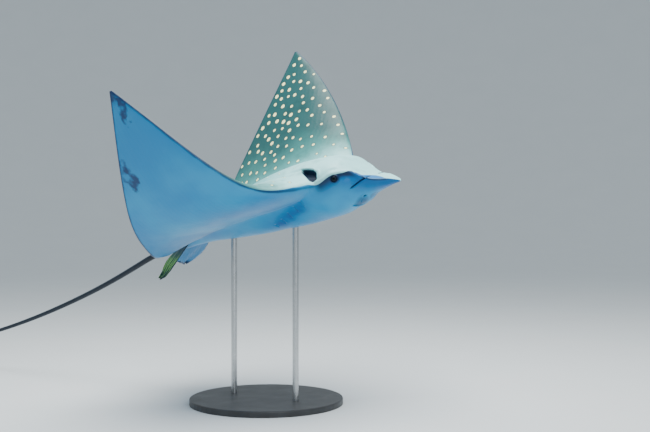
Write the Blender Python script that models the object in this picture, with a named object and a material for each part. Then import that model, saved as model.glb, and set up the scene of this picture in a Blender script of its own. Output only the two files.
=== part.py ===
# Spotted eagle ray with both wings raised, life size, on a plain display stand.
# Metres, +X the way the ray swims, +Y its left, +Z up, origin under the middle of the stand's base.
import bpy
import bmesh
import math
import numpy as np
from mathutils import Matrix, Vector
from mathutils.bvhtree import BVHTree

for item in list(bpy.data.objects):
    bpy.data.objects.remove(item)

# ---- driving dimensions -------------------------------------------------------------------------
SPAN = 1.40                  # wing tip to wing tip, measured round the flat disc
GAP = 0.0003                 # clearance between neighbouring solids
PITCH = math.radians(13.0)   # nose up
BANK = math.radians(10.3)    # left wing up
REF_STATION = 0.295          # station, as a share of the span, that the ray turns about
REF_PLACE = Vector((0.06, 0.0, 0.566))   # where that point is held

WING_ORIGIN = 0.145          # stations behind the snout and distances from the midline, in spans
WING_TIP = 0.354
WING_REAR = 0.596
WING_ROOT = 0.078
HALF_SPAN = 0.5
TIP_CHORD = 0.006
LEADING_SWEEP = 0.29         # how much of the leading edge's sweep comes near the tip
TRAILING_HOLLOW = 1.05       # over 1 makes the trailing edge hollow
NOTCH = (0.525, 0.034)       # where the wing's inner corner leaves the trunk
WING_THICK = 0.062
TIP_THICK = 0.004
WING_TAPER = 1.35
WING_RIM = 0.0012            # half the thickness of the trailing edge
ARCH = 0.053                 # how far the trunk droops behind the reference station, per span
CORNER_DROOP = 0.022         # how far the wing's inner corner hangs

LOBE_END = 0.080             # where the solids part along the body
HEAD_END = 0.195
TRUNK_SPLIT = 0.375
TRUNK_END = 0.615
WING_SPLIT = 0.40            # share of the wing's reach at which it parts

# station, half width, top, bottom, level of the side: all in spans
PROFILE = np.array([
    (0.000, 0.000, -0.0017, -0.0017, -0.0017),    # snout tip
    (0.015, 0.0150, 0.0096, -0.0035, 0.0090),
    (0.040, 0.0357, 0.0187, -0.0074, 0.0180),    # rostral lobe
    (0.060, 0.0380, 0.0302, -0.0122, 0.0286),
    (0.080, 0.0485, 0.0500, -0.0224, 0.0436),    # forehead
    (0.105, 0.070, 0.0762, -0.0275, 0.0480),    # eyes, under the brow
    (0.145, 0.078, 0.087, -0.036, 0.0375),    # spiracles
    (0.215, 0.083, 0.091, -0.037, 0.038),
    (0.315, 0.084, 0.084, -0.031, 0.038),    # deepest part of the trunk
    (0.425, 0.066, 0.063, -0.016, 0.033),
    (0.495, 0.044, 0.048, -0.003, 0.027),    # hips
    (0.555, 0.024, 0.036, 0.005, 0.022),
    (0.615, 0.010, 0.026, 0.010, 0.018),     # root of the tail
])

# how far each wing is raised: angles at a fifth, at the middle and at the tip of its reach, and
# how much more the trailing part is raised than the leading part
FLAP = {"right": (0.136, 1.045, 1.349, 0.40), "left": (0.768, 0.933, 1.047, 0.71)}
FLAP_AT = (0.0, 0.2, 0.55, 1.0)
HINGE = 0.05                 # distance from the midline at which a wing starts to rise
HINGE_STATION = 0.325

EYE = (0.1045, 0.0640, 0.0392)           # station, side, height in spans
EYE_RADIUS = 0.0118
TAIL_LENGTH = 2.95
TAIL_RADIUS = 0.0095
TAIL_TIP_RADIUS = 0.0016
TAIL_LENGTHS = 6
STING_LENGTH = 0.085
STING_WIDTH = 0.0038         # half width and half thickness at its base
STING_THICK = 0.0019
STING_AHEAD = 0.012          # how far its base lies ahead of the tail's root, and above the skin
STING_ABOVE = 0.0035

# fins: root is a station and a side; tips are station, side and height; chords run along the ray
PELVIC_ROOT = (0.566, 0.0245)
PELVIC_DROP = 0.005
PELVIC_THICK = 0.006
PELVIC = {
    "right": {"tip": (0.6197, -0.0639, -0.0592), "root_chord": (1, -0.33, 0), "tip_chord": (1, -1.47, -2.52),
              "width": 0.042},
    "left": {"tip": (0.6468, 0.0585, -0.0474), "root_chord": (1, 0.25, 0), "tip_chord": (1, 1.47, -0.23),
             "width": 0.076},
}
DORSAL_STATIONS = (0.591, 0.613)         # middle of the root, tip
DORSAL_HEIGHTS = (0.0022, 0.026)         # the same over the back
DORSAL_CHORD = (1, 0, 0.15)
DORSAL_WIDTH = 0.036
DORSAL_THICK = 0.005
# droop from the body's own line and swing to the ray's right, in degrees, along the tail
TAIL_AT = (0.0, 0.052, 0.147, 0.294, 0.47, 0.67, 1.0)
TAIL_DROOP = (1.0, 12.2, 8.5, 1.9, -9.4, -13.5, -15.0)
TAIL_SWING = (0.0, 2.0, 5.0, 6.0, 3.0, -8.0, -18.0)

BASE_RADIUS = 0.23
BASE_THICK = 0.018
ROD_RADIUS = 0.009
ROD_STATIONS = (0.260, 0.430)

SLATE = (0.075, 0.105, 0.100)
BLACK = (0.012, 0.013, 0.016)
BONE = (0.62, 0.58, 0.47)
PAINT = (0.03, 0.03, 0.032)
STEEL = (0.35, 0.36, 0.37)


# ---- curves -------------------------------------------------------------------------------------
def smooth_curve(xs, ys, x):
    """Monotone cubic through the points (xs, ys)."""
    xs, ys = np.asarray(xs, float), np.asarray(ys, float)
    step = np.diff(xs)
    slope = np.diff(ys) / step
    tangent = np.concatenate([[slope[0]], np.zeros(len(xs) - 2), [slope[-1]]])
    for i in range(1, len(xs) - 1):
        if slope[i - 1] * slope[i] > 0:
            w1, w2 = 2 * step[i] + step[i - 1], step[i] + 2 * step[i - 1]
            tangent[i] = (w1 + w2) / (w1 / slope[i - 1] + w2 / slope[i])
    x = np.clip(x, xs[0], xs[-1])
    k = np.clip(np.searchsorted(xs, x, side="right") - 1, 0, len(xs) - 2)
    t = (x - xs[k]) / step[k]
    rise = ys[k] * (2 * t**3 - 3 * t**2 + 1) + ys[k + 1] * (3 * t**2 - 2 * t**3)
    return rise + step[k] * (tangent[k] * (t**3 - 2 * t**2 + t) + tangent[k + 1] * (t**3 - t**2))


def profile(station, column):
    """Body profile; the square root of the station keeps the snout round."""
    return smooth_curve(np.sqrt(PROFILE[:, 0]), PROFILE[:, column], np.sqrt(station))


def reach(side):
    """0 at the wing's root, 1 at its tip."""
    return np.clip((side - WING_ROOT) / (HALF_SPAN - WING_ROOT), 0, 1)


def leading_edge(side):
    t = reach(side)
    return WING_ORIGIN + (WING_TIP - WING_ORIGIN) * ((1 - LEADING_SWEEP) * t + LEADING_SWEEP * t**3)


def trailing_edge(side):
    tip = WING_TIP + TIP_CHORD
    return tip + (WING_REAR - tip) * (1 - reach(side))**TRAILING_HOLLOW


def foil(chord):
    """Half thickness of a wing's section, 1 at its thickest."""
    c = np.clip(chord, 0, 1)
    return 10 * (0.2969 * np.sqrt(c) - 0.126 * c - 0.3516 * c**2 + 0.2843 * c**3 - 0.1036 * c**4)


def surface(station, side):
    """Mid level, height above it and depth below it, anywhere on the flat disc."""
    half = np.maximum(profile(station, 1), 1e-6)
    top, bottom, level = (profile(station, k) for k in (2, 3, 4))
    out = np.clip(side / half, 0, 1)
    behind = np.clip((station - WING_ORIGIN) / 0.08, 0, 1)
    dome = (1 - out**2.3)**(0.5 + 0.65 * behind**2 * (3 - 2 * behind))
    chord = (station - leading_edge(side)) / np.maximum(trailing_edge(side) - leading_edge(side), 1e-4)
    thick = WING_THICK * (1 - reach(side))**WING_TAPER + TIP_THICK
    wing = np.maximum(thick * foil(chord) / 2, WING_RIM) * ((chord > 0) & (chord < 1))
    margin = (WING_REAR - NOTCH[0]) / (WING_ROOT - NOTCH[1])
    wing = wing * np.sqrt(np.clip((NOTCH[0] - station + margin * (side - NOTCH[1])) / 0.03, 0, 1))
    wing = wing * out**1.5
    hang = np.clip((station - 0.415) / 0.15, 0, 1)**2 * np.exp(-((side - 0.10) / 0.09)**2)
    mid = level - ARCH * np.clip(station - REF_STATION, 0, 1) - CORNER_DROOP * hang
    return mid, np.hypot((top - level) * dome, 1.15 * wing), np.hypot((level - bottom) * dome, 0.85 * wing)


# ---- pose ---------------------------------------------------------------------------------------
def raised(station, side, height, mid, wing):
    """Bend the flat disc up about the hinge line, keeping its lengths."""
    a, b, c, more = FLAP[wing]
    length = HALF_SPAN - HINGE
    v = np.clip((side - HINGE) / length, 0, 1)
    lift = 1 + more * (station - HINGE_STATION)
    steps = (np.arange(24) + 0.5) / 24
    angles = smooth_curve(FLAP_AT, (0, a, b, c), v[..., None] * steps) * lift[..., None]
    angle = smooth_curve(FLAP_AT, (0, a, b, c), v) * lift
    y = np.minimum(side, HINGE) + np.cos(angles).mean(-1) * v * length
    z = mid + np.sin(angles).mean(-1) * v * length
    return y - (height - mid) * np.sin(angle), z + (height - mid) * np.cos(angle)


def banked(points):
    """From the ray's own axes, in spans, to its place on the stand, in metres."""
    turn = np.array(Matrix.Rotation(-PITCH, 3, "Y") @ Matrix.Rotation(BANK, 3, "X"))
    return np.asarray(points) * SPAN @ turn.T + np.array(REF_PLACE)


def placed(station, side, height, mid, wing):
    y, z = raised(station, side, height, mid, wing)
    sign = -1 if wing == "right" else 1
    return banked(np.stack([REF_STATION - station, sign * y, z], -1))


# ---- meshes -------------------------------------------------------------------------------------
def material(name, colour, roughness):
    shade = bpy.data.materials.new(name)
    shade.use_nodes = True
    shader = shade.node_tree.nodes["Principled BSDF"]
    shader.inputs["Base Color"].default_value = (*colour, 1)
    shader.inputs["Roughness"].default_value = roughness
    shader.inputs["Metallic"].default_value = 0.0
    return shade


def solid(name, mesh, colour, roughness=0.45):
    """Turn a bmesh into a named object: doubles merged, faces out, flats cut into triangles."""
    bmesh.ops.remove_doubles(mesh, verts=mesh.verts, dist=2e-5)
    bmesh.ops.dissolve_degenerate(mesh, edges=mesh.edges, dist=1e-6)
    bmesh.ops.triangulate(mesh, faces=mesh.faces)
    bmesh.ops.recalc_face_normals(mesh, faces=mesh.faces)
    data = bpy.data.meshes.new(name)
    mesh.to_mesh(data)
    mesh.free()
    data.shade_smooth()
    data.set_sharp_from_angle(angle=math.radians(35))
    data.materials.append(material(name, colour, roughness))
    item = bpy.data.objects.new(name, data)
    bpy.context.collection.objects.link(item)
    return item


def add_grid(mesh, points, wrap=False):
    """Quads over a grid of points; wrap joins the last column to the first."""
    rows = [[mesh.verts.new(p) for p in row] for row in points]
    columns = len(rows[0])
    for near, far in zip(rows, rows[1:]):
        for j in range(columns if wrap else columns - 1):
            k = (j + 1) % columns
            mesh.faces.new((near[j], near[k], far[k], far[j]))
    return rows


def tube(points):
    """Closed solid through rings of points, with a flat cap at each end."""
    mesh = bmesh.new()
    rows = add_grid(mesh, points, wrap=True)
    mesh.faces.new(rows[0])
    mesh.faces.new(rows[-1])
    return mesh


def shell(top, bottom):
    """Closed solid between two grids of points, walled round their edges."""
    mesh = bmesh.new()
    upper, lower = add_grid(mesh, top), add_grid(mesh, bottom)

    def rim(rows):
        return rows[0] + [r[-1] for r in rows[1:]] + rows[-1][-2::-1] + [r[0] for r in rows[-2:0:-1]]

    above, below = rim(upper), rim(lower)
    for i in range(len(above)):
        k = (i + 1) % len(above)
        mesh.faces.new((above[i], above[k], below[k], below[i]))
    return mesh


# ---- the ray ------------------------------------------------------------------------------------
def root_stations():
    """Stations that the body and the wings' roots share, close together behind the rounded front edge."""
    front = [WING_ORIGIN, WING_ORIGIN + 0.0025, WING_ORIGIN + 0.010, (WING_ORIGIN + HEAD_END) / 2 + 0.002]
    return np.concatenate([front, np.linspace(HEAD_END, TRUNK_SPLIT, 9),
                           np.linspace(TRUNK_SPLIT, NOTCH[0], 8)[1:]])


def stations(first, last, before=0, behind=0):
    """Stations of one body piece: its share of the root's, with more before or behind the wing."""
    shared = [s for s in root_stations() if first <= s <= last]
    ahead = np.linspace(first, shared[0], before)[:-1] if before else []
    return np.concatenate([ahead, shared, np.linspace(shared[-1], last, behind)[1:] if behind else []])


def body_ring(station, arc):
    """Ring round the body at one station, from the back's midline down the left and up the right."""
    turn = np.linspace(0, math.pi / 2, arc)
    side = (profile(station, 1) - GAP / 2 / SPAN) * np.sin(turn)
    station = np.full(arc, station)
    mid, up, down = surface(station, side)
    ring = []
    for wing in ("left", "right"):
        over = placed(station, side, mid + up, mid, wing)
        under = placed(station, side, mid - down, mid, wing)
        loop = np.concatenate([over, under[::-1]])
        ring.append(loop if wing == "left" else loop[::-1][1:-1])
    return np.concatenate(ring)


def body_piece(name, cuts, arc=9):
    clear = GAP / 2 / SPAN
    cuts = np.array(cuts)
    cuts[0] += clear
    cuts[-1] -= clear
    return solid(name, tube([body_ring(s, arc) for s in cuts]), SLATE)


def rostral_lobe():
    return body_piece("rostral_lobe", LOBE_END * np.linspace(0.02, 1, 9)**1.6)


def eye(wing):
    station, side, height = (np.array([value]) for value in EYE)
    centre = Vector(placed(station, side, height, surface(station, side)[0], wing)[0])
    mesh = bmesh.new()
    bmesh.ops.create_uvsphere(mesh, u_segments=14, v_segments=9, radius=EYE_RADIUS)
    bmesh.ops.translate(mesh, verts=mesh.verts, vec=centre)
    socket = bmesh.new()
    bmesh.ops.create_uvsphere(socket, u_segments=14, v_segments=9, radius=EYE_RADIUS + 2 * GAP)
    bmesh.ops.translate(socket, verts=socket.verts, vec=centre)
    cutter = solid("socket_" + wing, socket, BLACK)
    cutter.hide_render = True
    cutter.display_type = "WIRE"
    solid("eye_" + wing, mesh, BLACK, 0.15)
    return cutter


def head():
    piece = body_piece("head", stations(LOBE_END, HEAD_END, before=9), arc=11)
    for wing in ("left", "right"):
        cut = piece.modifiers.new("socket", "BOOLEAN")
        cut.object = eye(wing)
        cut.operation = "DIFFERENCE"
        cut.solver = "EXACT"


def wing_grid(wing, first, last, rows):
    """Upper and lower grids of a wing between two shares of its reach."""
    root = np.concatenate([root_stations(), np.linspace(NOTCH[0], WING_REAR, 5)[1:]])
    chord = (root - WING_ORIGIN) / (WING_REAR - WING_ORIGIN)
    inner = NOTCH[1] + (WING_ROOT - NOTCH[1]) * (root - NOTCH[0]) / (WING_REAR - NOTCH[0])
    root_side = np.where(root <= NOTCH[0], profile(root, 1), inner) + GAP / 2 / SPAN
    v = np.linspace(first, last, rows)
    side = WING_ROOT + (HALF_SPAN - WING_ROOT) * v
    lead, trail = leading_edge(side), trailing_edge(side)
    station = lead + (trail - lead) * chord[:, None]
    side = side + (1 - v)**3 * (root_side - WING_ROOT)[:, None]
    mid, up, down = surface(station, side)
    thin = np.sqrt(np.clip((1.002 - v) / 0.02, 0, 1))
    return (placed(station, side, mid + up * thin, mid, wing),
            placed(station, side, mid - down * thin, mid, wing))


def wings():
    clear = GAP / 2 / SPAN / (HALF_SPAN - WING_ROOT)
    for wing in ("left", "right"):
        for part, first, last, rows in (("inner", 0, WING_SPLIT - clear, 8),
                                        ("outer", WING_SPLIT + clear, 1, 11)):
            solid(f"wing_{wing}_{part}", shell(*wing_grid(wing, first, last, rows)), SLATE)


def tail_path(count):
    """Points along the tail in the ray's axes, in metres from its root, and its headings."""
    share = np.linspace(0, 1, count)
    droop = np.radians(smooth_curve(TAIL_AT, TAIL_DROOP, share))
    swing = np.radians(smooth_curve(TAIL_AT, TAIL_SWING, share))
    heading = np.stack([-np.cos(droop) * np.cos(swing), -np.cos(droop) * np.sin(swing),
                        -np.sin(droop)], -1)
    middle = (heading[1:] + heading[:-1]) / 2 * TAIL_LENGTH / (count - 1)
    return np.concatenate([np.zeros((1, 3)), np.cumsum(middle, 0)]), heading


def tail_radius(share):
    return TAIL_TIP_RADIUS + (TAIL_RADIUS - TAIL_TIP_RADIUS) * (1 - share)**1.5


def tail():
    per_length, sides = 8, 8
    count = TAIL_LENGTHS * (per_length - 1) + 1
    path, heading = tail_path(count)
    mid = surface(np.array([TRUNK_END]), np.array([0.0]))[0][0]
    centre = (profile(TRUNK_END, 2) + profile(TRUNK_END, 3)) / 2 + mid - profile(TRUNK_END, 4)
    root = np.array([REF_STATION - TRUNK_END, 0, centre]) * SPAN
    turn = np.linspace(0, 2 * math.pi, sides, endpoint=False)
    for k in range(TAIL_LENGTHS):
        rings = []
        for i in range(per_length):
            n = k * (per_length - 1) + i
            along = Vector(heading[n])
            across = along.cross(Vector((0, 0, 1))).normalized()
            up = across.cross(along)
            shift = GAP / 2 * ((i == 0) - (i == per_length - 1))
            if n == 0:
                shift = GAP
            middle = Vector(root + path[n]) + along * shift
            radius = tail_radius(n / (count - 1))
            ring = [middle + radius * (math.cos(a) * up + math.sin(a) * across) for a in turn]
            rings.append(banked(np.array(ring) / SPAN))
        solid(f"tail_{k + 1}", tube(rings), BLACK)


def fin(name, root, tip, root_chord, tip_chord, width, thick):
    """Tongue-shaped fin from root to tip, in spans; its chord turns from one direction to the other."""
    root, tip = Vector(root), Vector(tip)
    along = tip - root
    top, bottom = [], []
    for t in np.linspace(0, 1, 8):
        half = width / 2 * (1 - 0.3 * t) * math.sqrt(max(1 - (0.985 * t)**5, 0))
        chord = Vector(root_chord).normalized().lerp(Vector(tip_chord).normalized(), t).normalized()
        normal = along.cross(chord).normalized()
        upper, lower = [], []
        for c in np.linspace(-1, 1, 7):
            middle = root + along * t + chord * half * c
            bulge = normal * thick / 2 * (0.18 + 0.82 * (1 - c * c) * (1 - 0.6 * t))
            upper.append(middle + bulge)
            lower.append(middle - bulge)
        top.append(banked(upper))
        bottom.append(banked(lower))
    return solid(name, shell(top, bottom), SLATE)


def pelvic_fins():
    station, side = PELVIC_ROOT
    level = surface(np.array([station]), np.array([side]))[0][0] - PELVIC_DROP
    for wing, shape in PELVIC.items():
        tip_station, tip_side, tip_height = shape["tip"]
        root = (REF_STATION - station, math.copysign(side, tip_side), level)
        fin("pelvic_fin_" + wing, root, (REF_STATION - tip_station, tip_side, tip_height),
            shape["root_chord"], shape["tip_chord"], shape["width"], PELVIC_THICK)


def dorsal_fin():
    mid, up, _ = surface(np.array([DORSAL_STATIONS[0]]), np.array([0.0]))
    root, tip = ((REF_STATION - station, 0, float(mid[0] + up[0]) + height)
                 for station, height in zip(DORSAL_STATIONS, DORSAL_HEIGHTS))
    fin("dorsal_fin", root, tip, DORSAL_CHORD, DORSAL_CHORD, DORSAL_WIDTH, DORSAL_THICK)


def sting():
    """Flat barbed spine, lying just clear of the tail behind the dorsal fin."""
    mid, up, _ = surface(np.array([TRUNK_END]), np.array([0.0]))
    top = (mid[0] + up[0]) * SPAN
    start = Vector(((REF_STATION - TRUNK_END) * SPAN - STING_AHEAD, 0, top + STING_ABOVE))
    along = Vector((-1, 0, 0.02))
    rings = []
    for t in np.linspace(0, 1, 7):
        width, thick = STING_WIDTH * (1 - 0.9 * t**2), STING_THICK * (1 - 0.7 * t**2)
        centre = start + along * STING_LENGTH * t
        corners = ((0, width, 0), (0, 0, thick), (0, -width, 0), (0, 0, -thick))
        rings.append(banked(np.array([centre + Vector(c) for c in corners]) / SPAN))
    solid("sting", tube(rings), BONE, 0.4)


# ---- the stand ----------------------------------------------------------------------------------
def disc_base():
    mesh = bmesh.new()
    bmesh.ops.create_cone(mesh, cap_ends=True, segments=64, radius1=BASE_RADIUS, radius2=BASE_RADIUS,
                          depth=BASE_THICK)
    bmesh.ops.translate(mesh, verts=mesh.verts, vec=(0, 0, BASE_THICK / 2))
    upper = [e for e in mesh.edges if all(v.co.z > BASE_THICK * 0.9 for v in e.verts)]
    bmesh.ops.bevel(mesh, geom=upper, offset=0.004, segments=2, affect="EDGES", profile=0.5)
    solid("stand_base", mesh, PAINT, 0.4)


def rod(name, station):
    """Upright rod whose top is cut to the belly above it."""
    foot = banked((REF_STATION - station, 0, 0))
    belly = BVHTree.FromObject(bpy.data.objects["trunk_front" if station < TRUNK_SPLIT else "trunk_rear"],
                               bpy.context.evaluated_depsgraph_get())
    low, high = [], []
    for a in np.linspace(0, 2 * math.pi, 20, endpoint=False):
        x, y = foot[0] + ROD_RADIUS * math.cos(a), foot[1] + ROD_RADIUS * math.sin(a)
        hit = belly.ray_cast(Vector((x, y, BASE_THICK)), Vector((0, 0, 1)))[0]
        low.append((x, y, BASE_THICK + GAP))
        high.append((x, y, hit.z - 2 * GAP))
    solid(name, tube([low, high]), STEEL, 0.3)


rostral_lobe()
head()
body_piece("trunk_front", stations(HEAD_END, TRUNK_SPLIT))
body_piece("trunk_rear", stations(TRUNK_SPLIT, TRUNK_END, behind=7))
wings()
pelvic_fins()
dorsal_fin()
sting()
tail()
disc_base()
bpy.context.view_layer.update()
rod("stand_rod_front", ROD_STATIONS[0])
rod("stand_rod_rear", ROD_STATIONS[1])
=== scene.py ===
# Spotted eagle ray on its display stand: the looks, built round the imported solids.
import math
import random
import bpy
import numpy as np
from mathutils import Matrix, Vector
from mathutils.kdtree import KDTree


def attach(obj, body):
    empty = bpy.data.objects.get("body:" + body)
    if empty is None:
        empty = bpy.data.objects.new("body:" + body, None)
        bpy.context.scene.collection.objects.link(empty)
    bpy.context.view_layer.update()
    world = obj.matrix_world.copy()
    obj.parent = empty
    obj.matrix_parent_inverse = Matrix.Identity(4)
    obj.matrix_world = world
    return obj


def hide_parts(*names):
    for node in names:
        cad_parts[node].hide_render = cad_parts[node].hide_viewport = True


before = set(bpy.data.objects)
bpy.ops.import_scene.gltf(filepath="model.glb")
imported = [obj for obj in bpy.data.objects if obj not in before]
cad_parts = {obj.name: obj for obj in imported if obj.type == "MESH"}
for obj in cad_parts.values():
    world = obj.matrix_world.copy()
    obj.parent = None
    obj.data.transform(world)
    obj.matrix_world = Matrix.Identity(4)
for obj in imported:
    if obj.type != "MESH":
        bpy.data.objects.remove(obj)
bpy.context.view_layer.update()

# the ray's own measures are shares of its span: stations run back from the snout, sides out from the midline
ray = {
    "span": 1.40,
    "noseUp": math.radians(13.0),
    "leftUp": math.radians(10.3),
    "heldStation": 0.295,
    "heldAt": (0.06, 0.0, 0.566),
    "arch": 0.053,
    "cornerDroop": 0.022,
}

body = {
    "station": (0, 0.015, 0.040, 0.060, 0.080, 0.105, 0.145, 0.215, 0.315, 0.425, 0.495, 0.555, 0.615),
    "half": (0, 0.0150, 0.0357, 0.0380, 0.0485, 0.070, 0.078, 0.083, 0.084, 0.066, 0.044, 0.024, 0.010),
    "top": (-0.0017, 0.0096, 0.0187, 0.0302, 0.0500, 0.0762, 0.087, 0.091, 0.084, 0.063, 0.048, 0.036, 0.026),
    "bottom": (-0.0017, -0.0035, -0.0074, -0.0122, -0.0224, -0.0275, -0.036, -0.037, -0.031, -0.016, -0.003,
               0.005, 0.010),
    "level": (-0.0017, 0.0090, 0.0180, 0.0286, 0.0436, 0.0480, 0.0375, 0.038, 0.038, 0.033, 0.027,
              0.022, 0.018),
    "end": 0.615,
    "domeRound": 2.3,         # how boxy a slice is, and how its edge sharpens behind the wing's origin
    "domeEdge": (0.5, 0.65, 0.08),
    "hang": (0.415, 0.15, 0.10, 0.09),    # station and reach, side and spread of the wing's hanging corner
    "foilAbove": 1.15,
    "foilBelow": 0.85,
}

wing = {
    "origin": 0.145,
    "tip": 0.354,
    "rear": 0.596,
    "root": 0.078,
    "halfSpan": 0.5,
    "tipChord": 0.006,
    "frontSweep": 0.29,
    "rearHollow": 1.05,
    "notch": (0.525, 0.034),
    "thick": 0.062,
    "tipThick": 0.004,
    "taper": 1.35,
    "rim": 0.0008,            # half the thickness just inside the trailing edge
    "rimRound": 0.002,        # how far in the edge starts to round off
    "hinge": 0.05,
    "hingeStation": 0.325,
    "angleAt": (0, 0.2, 0.55, 1),
    "angles": {"right": (0, 0.136, 1.045, 1.349), "left": (0, 0.768, 0.933, 1.047)},
    "rearLift": {"right": 0.40, "left": 0.71},
}

# lengths in metres, the bent tail's headings in degrees
tail = {
    "length": 2.95,
    "radius": 0.0095,
    "tipRadius": 0.0016,
    "at": (0, 0.052, 0.147, 0.294, 0.47, 0.67, 1),
    "droop": (1, 12.2, 8.5, 1.9, -9.4, -13.5, -15),
    "swing": (0, 2, 5, 6, 3, -8, -18),
}

# how finely the skin is cut, in shares of the span
cut = {
    "noseRows": 26,
    "headEnd": 0.205,
    "headStep": 0.0019,
    "bodyStep": 0.0050,
    "ring": 38,               # columns from the midline to the side
    "wingColumns": 60,
    "wingThin": 0.42,         # beyond this share of the wing every second row goes
    "trunkThin": 0.33,        # behind this station every second column goes
    "tailRows": 120,
    "layer": 0.02,            # how far apart the flat top and underside lie while they are joined
    "noseEnd": 0.04,
    "wingFront": 0.010,       # length of the closer rows just behind the wing's origin
    "tipColumns": (0.98, 0.987, 0.993, 0.997, 1),
    # finer faces: mm beyond a crease's own width, the widest crease so treated, and the spiracle too
    "finer": ((2.6, 4, True), (0.6, 3, True), (0, 0, False)),
}
mm = 0.001 / ray["span"]      # a millimetre, in shares of the span
tiny = 1e-9


def smoothCurve(xs, ys, x):
    # monotone cubic through the points
    xs = np.asarray(xs, float)
    ys = np.asarray(ys, float)
    step = np.diff(xs)
    slope = np.diff(ys) / step
    tangent = np.concatenate([[slope[0]], np.zeros(len(xs) - 2), [slope[-1]]])
    for i in range(1, len(xs) - 1):
        if slope[i - 1] * slope[i] > 0:
            near = 2 * step[i] + step[i - 1]
            far = step[i] + 2 * step[i - 1]
            tangent[i] = (near + far) / (near / slope[i - 1] + far / slope[i])
    x = np.clip(x, xs[0], xs[-1])
    k = np.clip(np.searchsorted(xs, x, side="right") - 1, 0, len(xs) - 2)
    t = (x - xs[k]) / step[k]
    rise = ys[k] * (2 * t**3 - 3 * t**2 + 1) + ys[k + 1] * (3 * t**2 - 2 * t**3)
    return rise + step[k] * (tangent[k] * (t**3 - 2 * t**2 + t) + tangent[k + 1] * (t**3 - t**2))


def easeIn(low, high, x):
    # 0 at low, 1 at high, smooth between; low may be the larger
    t = np.clip((np.asarray(x, float) - low) / (high - low), 0, 1)
    return t * t * (3 - 2 * t)


def bodyCurve(station, name):
    # over the square root of the station, which keeps the snout round
    return smoothCurve(np.sqrt(body["station"]), body[name], np.sqrt(station))


def reach(side):
    return np.clip((side - wing["root"]) / (wing["halfSpan"] - wing["root"]), 0, 1)


def frontEdge(side):
    t = reach(side)
    sweep = (1 - wing["frontSweep"]) * t + wing["frontSweep"] * t**3
    return wing["origin"] + (wing["tip"] - wing["origin"]) * sweep


def rearEdge(side):
    tip = wing["tip"] + wing["tipChord"]
    return tip + (wing["rear"] - tip) * (1 - reach(side))**wing["rearHollow"]


def wingHalfThickness(station, side):
    front = frontEdge(side)
    length = np.maximum(rearEdge(side) - front, 1e-4)
    c = np.clip((station - front) / length, 0, 1)
    foil = 10 * (0.2969 * np.sqrt(c) - 0.126 * c - 0.3516 * c**2 + 0.2843 * c**3 - 0.1036 * c**4)
    thick = wing["thick"] * (1 - reach(side))**wing["taper"] + wing["tipThick"]
    rim = wing["rim"] * np.sqrt(np.clip((1 - c) * length / wing["rimRound"], 0, 1))
    half = np.maximum(thick * foil / 2, rim)
    # the free inner margin between the trunk and the rear corner thins out as well
    notch = wing["notch"]
    slant = (wing["rear"] - notch[0]) / (wing["root"] - notch[1])
    inside = np.clip((notch[0] - station + slant * (side - notch[1])) / 0.03, 0, 1)
    tipClose = np.sqrt(np.clip((1 - reach(side)) / 0.02, 0, 1))
    return half * np.sqrt(inside) * tipClose * (c > 0) * (c < 1)


def discShape(station, side):
    # level of the disc's middle, height above it and depth below it
    half = np.maximum(bodyCurve(station, "half"), 1e-6)
    level = bodyCurve(station, "level")
    out = np.clip(side / half, 0, 1)
    first, more, over = body["domeEdge"]
    dome = (1 - out**body["domeRound"])**(first + more * easeIn(0, over, station - wing["origin"]))
    thick = wingHalfThickness(station, side) * out**1.5
    start, along, place, spread = body["hang"]
    hang = np.clip((station - start) / along, 0, 1)**2 * np.exp(-((side - place) / spread)**2)
    mid = level - ray["arch"] * np.clip(station - ray["heldStation"], 0, 1) - ray["cornerDroop"] * hang
    up = np.hypot((bodyCurve(station, "top") - level) * dome, body["foilAbove"] * thick)
    down = np.hypot((level - bodyCurve(station, "bottom")) * dome, body["foilBelow"] * thick)
    return mid, up, down


def tailLine():
    # points along the bent tail in the ray's own axes, in metres from its root, and its headings
    share = np.linspace(0, 1, 400)
    droop = np.radians(smoothCurve(tail["at"], tail["droop"], share))
    swing = np.radians(smoothCurve(tail["at"], tail["swing"], share))
    heading = np.stack([-np.cos(droop) * np.cos(swing), -np.cos(droop) * np.sin(swing), -np.sin(droop)], -1)
    middle = (heading[1:] + heading[:-1]) / 2 * tail["length"] / (len(share) - 1)
    return share, np.concatenate([np.zeros((1, 3)), np.cumsum(middle, 0)]), heading


tailShares, tailPoints, tailHeadings = tailLine()


def tailSize(station):
    # half width and half height of the tail, in shares of the span
    run = (station - body["end"]) * ray["span"]
    share = np.clip(run / tail["length"], 0, 1)
    radius = tail["tipRadius"] + (tail["radius"] - tail["tipRadius"]) * (1 - share)**1.5
    close = np.sqrt(np.clip((1 - share) / 0.002, 0, 1))
    fade = np.exp(-np.clip(run, 0, 1) / 0.02)
    wide = radius + (bodyCurve(body["end"], "half") * ray["span"] - tail["radius"]) * fade
    depth = (bodyCurve(body["end"], "top") - bodyCurve(body["end"], "bottom")) / 2 * ray["span"]
    high = radius + (depth - tail["radius"]) * fade
    return wide * close / ray["span"], high * close / ray["span"]


def halfWidth(station):
    return np.where(station > body["end"], tailSize(station)[0], bodyCurve(station, "half"))


def flatShape(station, side):
    # the disc's shape, carried on along the tail as if it were straight
    mid, up, down = discShape(np.minimum(station, body["end"]), side)
    wide, high = tailSize(station)
    run = (station - body["end"]) * ray["span"]
    rootMid = discShape(np.array(body["end"]), np.array(0.0))[0]
    change = easeIn(0, 0.05, run)
    out = np.clip(side / np.maximum(wide, 1e-9), 0, 1)
    first, more = body["domeEdge"][:2]
    dome = high * (1 - out**(body["domeRound"] - 0.3 * change))**(first + more - more * change)
    behind = station > body["end"]
    tailMid = rootMid + (mid - rootMid) * np.exp(-np.clip(run, 0, 1) / 0.03)
    return np.where(behind, tailMid, mid), np.where(behind, dome, up), np.where(behind, dome, down)


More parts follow.
